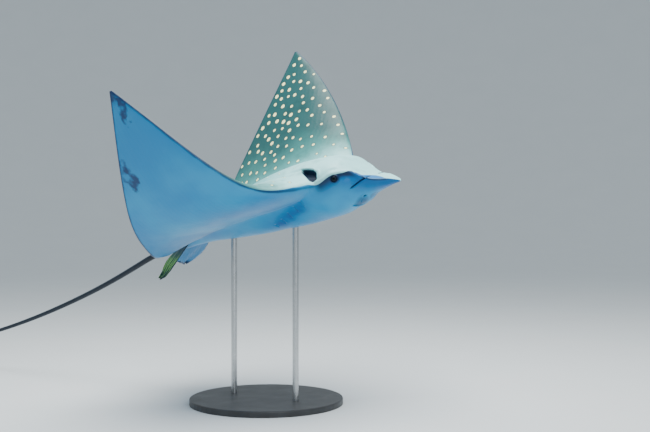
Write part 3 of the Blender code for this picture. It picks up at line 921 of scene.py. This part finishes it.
def finPiece(name):
    fin = fins[name]
    root = raySpot(*fin["root"])
    if name == "dorsal":
        tip = root + (fin["root"][0] - fin["tip"][0], 0, fin["tip"][2] - fin["root"][2])
    else:
        tip = np.array([ray["heldStation"] - fin["tip"][0], fin["tip"][1], fin["tip"][2]])
    along = tip - root
    first, last = [np.array(fin[end]) / np.linalg.norm(fin[end]) for end in ("rootChord", "tipChord")]
    turn = np.linspace(0, 2 * math.pi, finCut["columns"] + 1)
    c = np.cos(turn)
    rows, plan = [], []
    for t in np.linspace(0, 1, finCut["rows"] - 1):
        half = fin["width"] / 2 * (1 - 0.3 * t) * math.sqrt(max(1 - (0.992 * t)**5, 0))
        chord = first + (last - first) * t
        chord /= np.linalg.norm(chord)
        normal = np.cross(along, chord)
        normal /= np.linalg.norm(normal)
        ragged = fin["wave"] * (np.sin(c * 23 + 2) + 0.6 * np.sin(c * 41)) * t**3
        edge = half * (1 + 0.6 * fin["wave"] * math.sin(t * 31) * t)
        ripple = fin["wave"] * 0.06 * np.sin(c * 7 + t * 4) * t
        rows.append(root + along * (t * (1 + ragged))[:, None] + chord * (edge * c)[:, None]
                    + normal * (fin["thick"] / 2 * (1 - 0.6 * t) * np.sin(turn) + ripple)[:, None])
        plan.append(np.stack([np.full(len(c), fin["code"] + t), c], -1))
    front, rear = closeEnds(rows)
    piece = sheetFrom(name, bank(np.stack([front, *rows, rear])))
    corner = cornerPoints(piece.data)
    dropMaps(piece.data)
    addMaps(piece.data, plan=np.stack([plan[0], *plan, plan[-1]]).reshape(-1, 2)[corner],
            coat=np.tile((0.05, 0.0), (len(corner), 1)))
    mergeClose(piece, 1e-6)
    faceOut(piece)
    return piece


def growFins(skin):
    pieces = [finPiece(name) for name in fins]
    fin = joinInto(pieces[0], pieces[1:])
    grown = skin.modifiers.new("fins", "BOOLEAN")
    grown.object = fin
    grown.operation = "UNION"
    grown.solver = "EXACT"
    makeActive(skin)
    bpy.ops.object.modifier_apply(modifier="fins")
    bpy.data.objects.remove(fin)
    print("fins grown:", len(skin.data.vertices), "vertices")


# round pale spots over the back and the tops of the wings, in metres on the flat ray
spots = {
    "seed": 11,
    "tries": 26000,
    "sideAt": (0, 0.055, 0.10, 0.17, 0.28, 0.42, 0.68),        # gap and radius by distance from the midline
    "gap": (0.029, 0.028, 0.028, 0.032, 0.0325, 0.029, 0.0245),
    "radius": (0.0032, 0.0034, 0.0038, 0.0050, 0.0062, 0.0068, 0.0060),
    "frontGap": 1.40,          # how much wider they stand along the leading edge
    "frontRadius": 0.72,
    "headBare": 0.27,          # none ahead of this on the back
    "tailBare": 0.03,
    "forward": (0.55, 0.05),   # shares of the chord between which the leading edge's sizes come in
    "varied": (0.82, 1.15),
    "margin": 0.006,
    "tipMargin": 0.03,
    "shoulder": (0.16, 0.27),  # none nearer the midline and further forward than this on the wings
    "closest": 0.93,           # of the gap
    "cell": 0.05,              # of the grid that the search for neighbours uses
}


def scatterSpots():
    chance = random.Random(spots["seed"])
    size = ray["span"]
    placed = []
    grid = {}
    for attempt in range(spots["tries"]):
        side = chance.uniform(0, wing["halfSpan"]) * size
        station = chance.uniform(wing["origin"], wing["rear"]) * size
        flip = chance.choice((-1, 1))
        share = side / size
        if share < wing["root"]:
            front, rear = spots["headBare"], body["end"] * size - spots["tailBare"]
        else:
            front, rear = [float(edge(np.array(share))) * size for edge in (frontEdge, rearEdge)]
        chord = (station - front) / max(rear - front, 1e-3)
        forward = float(easeIn(*spots["forward"], chord))
        radius = float(np.interp(side, spots["sideAt"], spots["radius"]))
        radius *= (1 - (1 - spots["frontRadius"]) * forward) * chance.uniform(*spots["varied"])
        gap = float(np.interp(side, spots["sideAt"], spots["gap"]))
        gap *= 1 + (spots["frontGap"] - 1) * forward
        inset = min(station - front, rear - station)
        if inset < radius + spots["margin"] or side > wing["halfSpan"] * size - spots["tipMargin"]:
            continue
        if share > wing["root"] and side < spots["shoulder"][0] and station < spots["shoulder"][1]:
            continue
        y = side * flip
        home = (int(station // spots["cell"]), int(y // spots["cell"]))
        crowd = [other for i in (-1, 0, 1) for k in (-1, 0, 1)
                 for other in grid.get((home[0] + i, home[1] + k), ())]
        if any(math.hypot(station - x, y - z) < (gap + g) / 2 * spots["closest"] for x, z, g in crowd):
            continue
        grid.setdefault(home, []).append((station, y, gap))
        placed.append((station, y, radius))
    print("spots:", len(placed))
    return np.array(placed)


def markSpots(skin):
    # each face carries its two nearest spots: centre in the plan, and radius
    mesh = skin.data
    face, sizes = faceOfCorner(mesh)
    plan, coat = [readArray(mesh.uv_layers[name].data, "uv", 2) for name in ("plan", "coat")]
    middle = np.stack([np.bincount(face, plan[:, k]) / sizes for k in (0, 1)], -1)
    upper = np.bincount(face, coat[:, 0]) > 0
    places = scatterSpots()
    first, second = np.zeros((2, len(sizes), 3))
    wanted = np.flatnonzero(upper & (middle[:, 0] < 1))
    for rows in np.array_split(wanted, 40):
        far = np.hypot(middle[rows, None, 0] - places[:, 0], middle[rows, None, 1] - places[:, 1])
        order = np.argpartition(far - places[:, 2], 1, axis=1)[:, :2]
        first[rows] = places[order[:, 0]]
        second[rows] = places[order[:, 1]]
    for name, values in (("spotNear", first), ("spotNext", second)):
        marks = mesh.attributes.new(name, "FLOAT_VECTOR", "CORNER")
        marks.data.foreach_set("vector", np.asarray(values[face], np.float32).reshape(-1))


# colours are linear
coat = {
    # painted light: the head and back, dark in life, are painted pale where the strong light from above falls
    "pale": (0.34, 0.68, 0.70, 1),
    "litBack": (0.13, 0.42, 0.44, 1),
    "mid": (0.050, 0.235, 0.225, 1),
    "dark": (0.014, 0.076, 0.080, 1),
    "spot": (0.97, 0.95, 0.50, 1),
    "spotRing": (0.010, 0.045, 0.055, 1),
    # painted shade: the underside, white in life, is painted the blue it takes in shade
    "belly": (0.014, 0.300, 0.560, 1),
    "bellyShade": (0.006, 0.200, 0.455, 1),
    # painted shade on the side of the head under the brow
    "cheek": (0.003, 0.085, 0.290, 1),
    "margin": (0.004, 0.022, 0.080, 1),
    "blotch": (0.006, 0.022, 0.090, 1),
    # painted shade on the right side of the lobe's top
    "lens": (0.006, 0.150, 0.400, 1),
    "mouth": (0.002, 0.038, 0.120, 1),
    # painted shade over the gill slits
    "gillShade": (0.012, 0.085, 0.290, 1),
    # painted shade: the dark inside the cuts, the spiracle and round the eye, under the brow and under the
    # lobe's rim
    "cut": (0.0015, 0.010, 0.042, 1),
    "tail": (0.006, 0.011, 0.020, 1),
    "finDark": (0.004, 0.022, 0.040, 1),
    # painted highlights along the right pelvic fin's rays
    "finHighlight": (0.12, 0.30, 0.06, 1),
    "finPale": (0.030, 0.20, 0.42, 1),
}


# where the colours change, in metres: back from the snout, out from the midline, in from the outline
zones = {
    "litBack": (0.24, 0.52),                   # back, where the trunk's painted light from above dims
    "mid": (0.13, 0.30),                        # out
    "dark": (0.20, 0.40),
    "hips": ((0.66, 0.80), (0.10, 0.03)),       # back, out
    "cheek": ((0.235, 0.15), (0.060, 0.010)),   # back, in
    "brow": (0.087, 0.115, 0.185, 0.215),       # back, in; painted shade on the side of the head under the brow
    "browDeep": (0.015, 0.018, (0.120, 0.150)), # in, how far below the brow its painted shadow reaches, and how much more over the eye
    # the band of painted shade over the gill slits
    "gills": {"through": (0.266, 0.1015), "along": (0.335, 0.078), "slope": (0.323, 0.946),
              "band": (0.026, 0.004), "ends": (0.10, 0.055)},
    # back, out, half length, half width, strength
    "mouth": ((0.122, 0.025, 0.024, 0.020, 0.70), (0.087, 0.011, 0.017, 0.011, 0.40)),
    "blotches": ((0.498, 0.655, 0.018, 0.060, 1), (0.497, 0.615, 0.018, 0.022, 1),
                 (0.603, 0.492, 0.026, 0.036, 1), (0.583, 0.458, 0.022, 0.026, 1)),
    "tips": (0.655, 0.695),
    "rim": (0.017, 0.034, 0.081, 0.092),        # back, the painted shadow line under the lobe's rim
    "wingLift": (0.20, 0.215, 0.28, 0.34),      # back, where the colours meet above the outline
    "eyeDrop": (0.119, 0.147, 0.182, 0.210),
    # back, where on the right side only the painted shade on the lobe reaches up over the forehead
    "foreheadLift": (0.076, 0.084, 0.101, 0.126),
    # back, where the painted shade on the lobe's right side ends
    "lens": (0.110, 0.100),
    "tail": (0.835, 0.875),
}


def patches(back, side, places, soft):
    # the strongest of several soft ovals
    best = 0
    for backAt, outAt, backHalf, outHalf, strength in places:
        reachX = (back - backAt) / backHalf
        reachY = (side - outAt) / outHalf
        best = ((reachX * reachX + reachY * reachY).between(*soft) * strength).most(best)
    return best


def spotMarks(wire, back, out, wobble):
    # the two nearest spots of each face, and a halo round them
    flat = wire.node("ShaderNodeCombineXYZ", {}, {"X": back, "Y": out})
    spot, halo = 0, 0
    for name in ("spotNear", "spotNext"):
        mark = wire.node("ShaderNodeAttribute", {"attribute_name": name}, output=1)
        centre = wire.node("ShaderNodeCombineXYZ", {}, {"X": mark.axis("X"), "Y": mark.axis("Y")})
        beyond = flat.far(centre) - mark.axis("Z") + wobble
        real = mark.axis("Z").between(0.0005, 0.0010)
        spot = (beyond.between(0.0007, -0.0009) * real).most(spot)
        halo = (beyond.between(0.0050, 0.0002) * real).most(halo)
    return spot, halo


def skinFinish():
    finish, wire = newFinish("raySkin")
    own = ownPlace(wire)
    plan, coatMap = [wire.node("ShaderNodeUVMap", {"uv_map": name}) for name in ("plan", "coat")]
    back, out = plan.axis("X"), plan.axis("Y")
    side = out.size()
    edge, recessShade = coatMap.axis("X"), coatMap.axis("Y")
    inset = edge.size()
    broad = grain(wire, own, 5.5, 4)
    mottle = grain(wire, own, 24, 5)
    fine = grain(wire, own, 140, 3)
    speck = grain(wire, own, 620, 2)
    drift, uneven = broad - 0.5, mottle - 0.5

    # the top: dark over the wings, painted pale over the head and back as painted light from above, then the
    # spots
    wander = drift * 0.16 + uneven * 0.05
    spread = side + wander + (back.between(0.45, 0.20) - 0.5) * -0.04
    pale = (back + wander * 2).between(*zones["litBack"]).blend(coat["pale"], coat["litBack"])
    top = spread.between(*zones["mid"]).blend(pale, coat["mid"])
    top = spread.between(*zones["dark"]).blend(top, coat["dark"])
    top = (uneven * 1.6).size().between(0.0, 0.7).blend(top, (0.5, 0.62, 0.60, 1), "MULTIPLY")
    top = (back.between(*zones["hips"][0]) * side.between(*zones["hips"][1])).blend(top, coat["mid"])
    spot, halo = spotMarks(wire, back, out, (fine - 0.5) * 0.0016)
    top = (halo * (0.22 + 0.35 * side.between(0.06, 0.22))).blend(top, coat["spotRing"])
    top = (spot * (0.9 + uneven * 0.6)).blend(top, coat["spot"])

    # the underside, whose blue is painted shade: painted shade on the cheeks, under the brow, over the gills
    # and under the lobe's rim, then the mouth, the wings' margin and blotches
    belly = (drift * 2.2 + 0.5).between(0.1, 0.9).blend(coat["belly"], coat["bellyShade"])
    belly = (side.between(0.05, 0.55) * 0.35).blend(belly, coat["bellyShade"])
    # painted shade on the cheeks under the overhanging brow
    cheek = back.between(*zones["cheek"][0]) * inset.between(*zones["cheek"][1])
    belly = (cheek * 0.8).blend(belly, coat["cheek"])
    # painted shadow under the brow, reaching further over the eye
    deep, deeper, overEye = zones["browDeep"]
    brow = (inset + uneven * 0.006).between(deep + deeper * back.between(*overEye), 0.005)
    belly = (brow * back.within(*zones["brow"]) * 0.9).blend(belly, coat["cut"])
    # painted shade in a band over the gill slits
    gill = zones["gills"]
    across = (back - gill["through"][0]) * gill["slope"][0] + (side - gill["through"][1]) * gill["slope"][1]
    along = (back - gill["along"][0]) * gill["slope"][1] - (side - gill["along"][1]) * gill["slope"][0]
    gillMark = across.size().between(*gill["band"]) * along.size().between(*gill["ends"])
    belly = (gillMark * (0.62 + uneven * 1.6)).blend(belly, coat["gillShade"])
    mouthMark = patches(back + uneven * 0.014, side + drift * 0.014, zones["mouth"], (1.5, 0.2))
    belly = mouthMark.blend(belly, coat["mouth"])
    # painted shadow along the underside of the lobe's rim
    rimShadow = inset.between(0.0060, 0.0014) * back.within(*zones["rim"])
    belly = (rimShadow * 0.75).blend(belly, coat["cut"])
    margin = (inset + uneven * 0.006).between(0.0075, 0.0015) * back.between(0.16, 0.26)
    belly = (margin * 0.9).blend(belly, coat["margin"])
    blotches = patches(back + drift * 0.10 + uneven * 0.05, side + uneven * 0.07 + (fine - 0.5) * 0.02,
                       zones["blotches"], (1.3, 0.55))
    blotches = blotches * (grain(wire, own, 34, 4) * 2.6 - 0.75).between(0.15, 0.75)
    belly = (blotches.most(side.between(*zones["tips"])) * 0.9).blend(belly, coat["blotch"])

    # the dark margin shows above too; the colours meet at the outline, or a little above or below it
    topMargin = (inset + uneven * 0.004).between(0.0055, 0.0010) * back.between(0.24, 0.34)
    top = (topMargin * 0.75).blend(top, coat["margin"])
    lift = 0.0065 * back.within(*zones["wingLift"]) * side.between(0.30, 0.16)
    lift = lift - 0.0012 * back.within(*zones["eyeDrop"])
    # on the right side only, the underside's blue painted shade reaches up over the forehead
    lift = lift + 0.0084 * back.within(*zones["foreheadLift"]) * out.between(0.01, -0.01)
    upper = (edge - lift + uneven * 0.003).between(-0.0012, 0.0012)
    colour = upper.blend(belly, top)

    # painted shade: the lobe's right side is painted blue above as well, up to a pale strip along the middle
    strip = 0.0042 + 0.0504 * back.between(0.0637, 0.0980) + 0.0182 * back.between(0.0602, 0.0224)
    lens = (0 - out - strip + uneven * 0.003).between(-0.0020, 0.0024) * back.between(*zones["lens"]) * upper
    colour = lens.blend(colour, coat["lens"])
    # a painted shadow line along the lobe's rim there too
    colour = (lens * rimShadow * 0.7).blend(colour, coat["cut"])
    tailHere = (back + uneven * 0.03).between(*zones["tail"])
    colour = tailHere.blend(colour, (mottle * 0.8).blend(coat["tail"], (0.016, 0.026, 0.040, 1)))

    # the fins, whose plan is offset by their code
    codes = [fins[name]["code"] for name in ("pelvicRight", "pelvicLeft", "dorsal")]
    onFin, onLeft, onDorsal = [back.between(code - 0.6, code - 0.5) for code in codes]
    rays = ((out * 30 + uneven * 10).wave() * 0.5 + 0.5).between(0.35, 0.9)
    # painted highlights: green streaks along the right pelvic fin's rays
    highlightStreaks = rays * (mottle * 2.4 - 0.5) * (back - codes[0]).between(0.15, 0.5)
    rightFin = highlightStreaks.blend(coat["finDark"], coat["finHighlight"])
    leftRim = (back - codes[1] + uneven * 0.10).between(0.86, 0.97).most(side.between(0.93, 0.99))
    leftFin = (rays * 0.30).blend(coat["finPale"], coat["bellyShade"])
    leftFin = (leftRim * 0.85).blend(leftFin, coat["margin"])
    dorsalFin = (rays * 0.5).blend(coat["tail"], (0.018, 0.032, 0.045, 1))
    fin = onDorsal.blend(onLeft.blend(rightFin, leftFin), dorsalFin)
    colour = onFin.blend(colour, fin)
    offFin = 1 - onFin
    # painted shade inside the creases, the spiracle and round the eye
    colour = (recessShade.between(0.20, 0.90) * 0.98 * offFin).blend(colour, coat["cut"])

    rough = 0.40 + uneven * 0.22 + (fine - 0.5) * 0.15 + spot * 0.06
    striation = ((back * 420 + drift * 16).wave() * 0.5 + 0.5) * side.between(0.16, 0.30) * offFin
    relief = fine * 0.5 + speck * 0.35 + striation * 0.35 + rays * onFin * 1.2 + spot * 0.25
    normal = bump(wire, relief, 0.0006, 0.55)
    normal = bump(wire, mottle + broad * 0.6, 0.004, 0.22, over=normal)
    feed(finish, Base_Color=colour, Roughness=rough, Normal=normal, Coat_Weight=0.05, Coat_Roughness=0.3,
         Specular_IOR_Level=0.22)
    return finish


skin = raySkin()
growFins(skin)
markSpots(skin)
dress(skin, skinFinish())
skin.data.shade_smooth()
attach(skin, "root")
flesh = [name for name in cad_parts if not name.startswith(("eye", "sting", "stand"))]
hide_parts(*flesh)


def eyeball(which):
    # a ball with a swollen cornea, turned to the gaze, then carried with the skin
    bpy.ops.object.select_all(action="DESELECT")
    bpy.ops.mesh.primitive_uv_sphere_add(segments=64, ring_count=40, radius=1)
    ball = bpy.context.object
    ball.name = "eyeball_" + which
    u, v, h = coordinates(ball.data).T
    high, spread = eye["cornea"]
    cornea = 1 + high * np.exp(-(np.hypot(u, v) / spread)**2) * (h > 0)
    gaze, ahead, upward = gazeAxes()
    place = u[:, None] * ahead + v[:, None] * upward + (h * cornea)[:, None] * gaze
    place = np.array(eye["centre"]) + place * eye["radius"] * mm
    mid = flatShape(place[:, 0], place[:, 1])[0]
    sign = 1 if which == "left" else -1
    dropMaps(ball.data)
    addMaps(ball.data, look=np.stack([u, v], -1)[cornerPoints(ball.data)] * eye["radius"])
    setCoordinates(ball.data, pose(place[:, 0], place[:, 1] * sign, place[:, 2], mid))
    faceOut(ball)
    ball.data.shade_smooth()
    return ball


# mm across the ball, and linear colours
eyeLook = {
    "pupil": (4.6, 3.3),
    "irisEnd": (6.6, 8.0),
    "iris": ((0.002, 0.006, 0.016, 1), (0.012, 0.020, 0.030, 1)),
    "surround": ((0.001, 0.004, 0.014, 1), (0.004, 0.012, 0.034, 1)),
    "black": (0.001, 0.002, 0.004, 1),
}


def eyeFinish():
    finish, wire = newFinish("rayEye")
    look = wire.node("ShaderNodeUVMap", {"uv_map": "look"})
    u, v = look.axis("X"), look.axis("Y")
    own = ownPlace(wire)
    fleck = grain(wire, own, 900, 4)
    cloud = grain(wire, own, 260, 3)
    pupilFar = ((u / eyeLook["pupil"][0]) ** 2 + (v / eyeLook["pupil"][1]) ** 2) ** 0.5
    pupil = (pupilFar + (fleck - 0.5) * 0.10).between(1.05, 0.92)
    irisFar = (u * u + v * v) ** 0.5
    iris = (fleck * 1.6 - 0.3).between(0.2, 0.8).blend(*eyeLook["iris"])
    outer = (irisFar + (cloud - 0.5) * 1.2).between(*eyeLook["irisEnd"])
    colour = outer.blend(iris, cloud.blend(*eyeLook["surround"]))
    colour = pupil.blend(colour, eyeLook["black"])
    feed(finish, Base_Color=colour, Roughness=0.06 + outer * 0.12, Coat_Weight=0.03, Coat_Roughness=0.03,
         Specular_IOR_Level=0.08, Normal=bump(wire, fleck + cloud, 0.0002, 0.15))
    return finish


eyeShine = eyeFinish()
for which in ("left", "right"):
    ball = eyeball(which)
    dress(ball, eyeShine)
    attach(ball, "root")
    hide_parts("eye_" + which)
print("eyes set")

# the barbed spine over the root of the tail, in metres
sting = {
    "length": 0.085,
    "width": 0.0036,
    "thick": 0.0019,
    "above": 0.0035,
    "ahead": 0.012,
    "rise": 0.02,
    "barbs": 22,
    "barbDepth": 0.30,
    "rows": 176,
    "columns": 16,
    "bone": ((0.42, 0.36, 0.24, 1), (0.62, 0.57, 0.44, 1)),
    "stain": (0.16, 0.13, 0.09, 1),
}


def stingPiece():
    rootMid, rootUp = discShape(np.array(body["end"]), np.array(0.0))[:2]
    start = np.array([(ray["heldStation"] - body["end"]) * ray["span"] - sting["ahead"], 0,
                      float(rootMid + rootUp) * ray["span"] + sting["above"]])
    along = np.array((-1, 0, sting["rise"]))
    turn = np.linspace(0, 2 * math.pi, sting["columns"] + 1)
    rows = []
    for t in np.linspace(0, 1, sting["rows"]):
        taper = 1 - 0.93 * t**2.2
        barb = 1 - sting["barbDepth"] * ((t * sting["barbs"]) % 1) * (0.12 < t < 0.97)
        flatness = np.sign(np.cos(turn)) * np.abs(np.cos(turn))**0.8
        width = sting["width"] * taper * np.where(np.abs(np.cos(turn)) > 0.8, barb, 1)
        groove = 1 - 0.25 * np.exp(-(np.cos(turn) / 0.3)**2) * (np.sin(turn) > 0)
        thick = sting["thick"] * (1 - 0.75 * t**2) * groove
        rows.append(start + along * sting["length"] * t
                    + np.stack([np.zeros(len(turn)), width * flatness, thick * np.sin(turn)], -1))
    front, rear = closeEnds(rows)
    spine = sheetFrom("spine", bank(np.stack([front, *rows, rear]) / ray["span"]))
    mergeClose(spine, 1e-7)
    faceOut(spine)
    makeActive(spine)
    bpy.ops.object.shade_smooth_by_angle(angle=math.radians(35))
    return spine


def spineFinish():
    finish, wire = newFinish("raySpine")
    own = ownPlace(wire)
    streak = grain(wire, own, 320, 4)
    stain = grain(wire, own, 70, 3)
    colour = streak.between(0.3, 0.7).blend(*sting["bone"])
    colour = stain.between(0.5, 0.7).blend(colour, sting["stain"])
    feed(finish, Base_Color=colour, Roughness=0.42 + (streak - 0.5) * 0.3,
         Normal=bump(wire, streak, 0.0003, 0.5))
    return finish


spine = stingPiece()
dress(spine, spineFinish())
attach(spine, "root")
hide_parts("sting")
print("spine set")

stand = {
    "paint": ((0.020, 0.021, 0.024, 1), (0.034, 0.036, 0.040, 1)),
    "steel": ((0.40, 0.41, 0.42, 1), (0.58, 0.59, 0.60, 1)),
    "brushed": (900, 900, 14),        # fine across the rods, long along them
}


def paintedMetal():
    finish, wire = newFinish("standPaint")
    own = ownPlace(wire)
    peel = grain(wire, own, 900, 2)
    wear = grain(wire, own, 18, 5)
    colour = wear.between(0.35, 0.75).blend(*stand["paint"])
    feed(finish, Base_Color=colour, Roughness=0.42 + (wear - 0.5) * 0.3,
         Normal=bump(wire, peel, 0.0002, 0.5))
    return finish


def brushedSteel():
    finish, wire = newFinish("standSteel")
    own = ownPlace(wire)
    stretched = wire.node("ShaderNodeMapping", {}, {"Vector": own, "Scale": stand["brushed"]})
    brush = grain(wire, stretched, 1, 3)
    smear = grain(wire, own, 30, 4)
    colour = brush.blend(*stand["steel"])
    feed(finish, Base_Color=colour, Metallic=1.0, Roughness=0.28 + (brush - 0.5) * 0.2 + (smear - 0.5) * 0.2,
         Normal=bump(wire, brush, 0.0002, 0.3))
    return finish


paint, steel = paintedMetal(), brushedSteel()
for name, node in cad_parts.items():
    if name.startswith("stand_"):
        for held in node.material_slots:
            held.material = paint if name == "stand_base" else steel
print("stand finished")

# a pale floor that sweeps up far away, so that no horizon shows
studio = {
    "flat": 7.0,
    "round": 9.0,
    "climb": math.radians(62),
    "rows": 40,
    "around": 96,
    "floorTones": ((0.60, 0.645, 0.67, 1), (0.64, 0.68, 0.70, 1)),
    "light": (0.80, 0.88, 0.93, 1),
    "strength": 0.80,
}
turn = np.linspace(0, 2 * math.pi, studio["around"] + 1)
flatRadii = np.linspace(0, studio["flat"], 8)
bend = np.linspace(0, studio["climb"], studio["rows"])[1:]
radii = np.concatenate([flatRadii, studio["flat"] + studio["round"] * np.sin(bend)])
heights = np.concatenate([flatRadii * 0, studio["round"] * (1 - np.cos(bend))])
floor = sheetFrom("floor", np.stack([radii[:, None] * np.cos(turn), radii[:, None] * np.sin(turn),
                                     np.repeat(heights[:, None], len(turn), 1)], -1))
mergeClose(floor, 1e-5)
floor.data.shade_smooth()
pale, wire = newFinish("paleFloor")
dust = grain(wire, ownPlace(wire), 3, 4)
feed(pale, Base_Color=dust.blend(*studio["floorTones"]), Roughness=0.75)
dress(floor, pale)

world = bpy.data.worlds.new("studio")
bpy.context.scene.world = world
world.use_nodes = True
backdrop = world.node_tree.nodes["Background"]
backdrop.inputs["Color"].default_value = studio["light"]
backdrop.inputs["Strength"].default_value = studio["strength"]

lamps = {
    "overhead": {"at": (0.25, -0.2, 3.0), "size": 2.2, "power": 190, "colour": (1, 0.99, 0.96)},
    "front": {"at": (3.2, -2.6, 1.7), "size": 2.0, "power": 30, "colour": (0.92, 0.97, 1)},
}
for name, lamp in lamps.items():
    light = bpy.data.lights.new(name, "AREA")
    light.size = lamp["size"]
    light.energy = lamp["power"]
    light.color = lamp["colour"]
    holder = bpy.data.objects.new(name, light)
    bpy.context.scene.collection.objects.link(holder)
    holder.location = lamp["at"]
    aim = Vector(ray["heldAt"]) - holder.location
    holder.rotation_euler = aim.to_track_quat("-Z", "Y").to_euler()

view = {"distance": 2.9666, "aside": 0.126, "drop": 0.0056, "turn": math.radians(34), "lens": 55.385}
camera = bpy.data.objects.new("camera", bpy.data.cameras.new("camera"))
bpy.context.scene.collection.objects.link(camera)
ahead = Vector((-math.sin(view["turn"]), math.cos(view["turn"]), 0))
aside = Vector((ahead.y, -ahead.x, 0))
camera.location = (Vector(ray["heldAt"]) - ahead * view["distance"] + aside * view["aside"]
                   - Vector((0, 0, view["drop"])))
camera.rotation_euler = (math.pi / 2, 0, view["turn"])
camera.data.lens = view["lens"]
camera.data.sensor_width = 36
bpy.context.scene.camera = camera
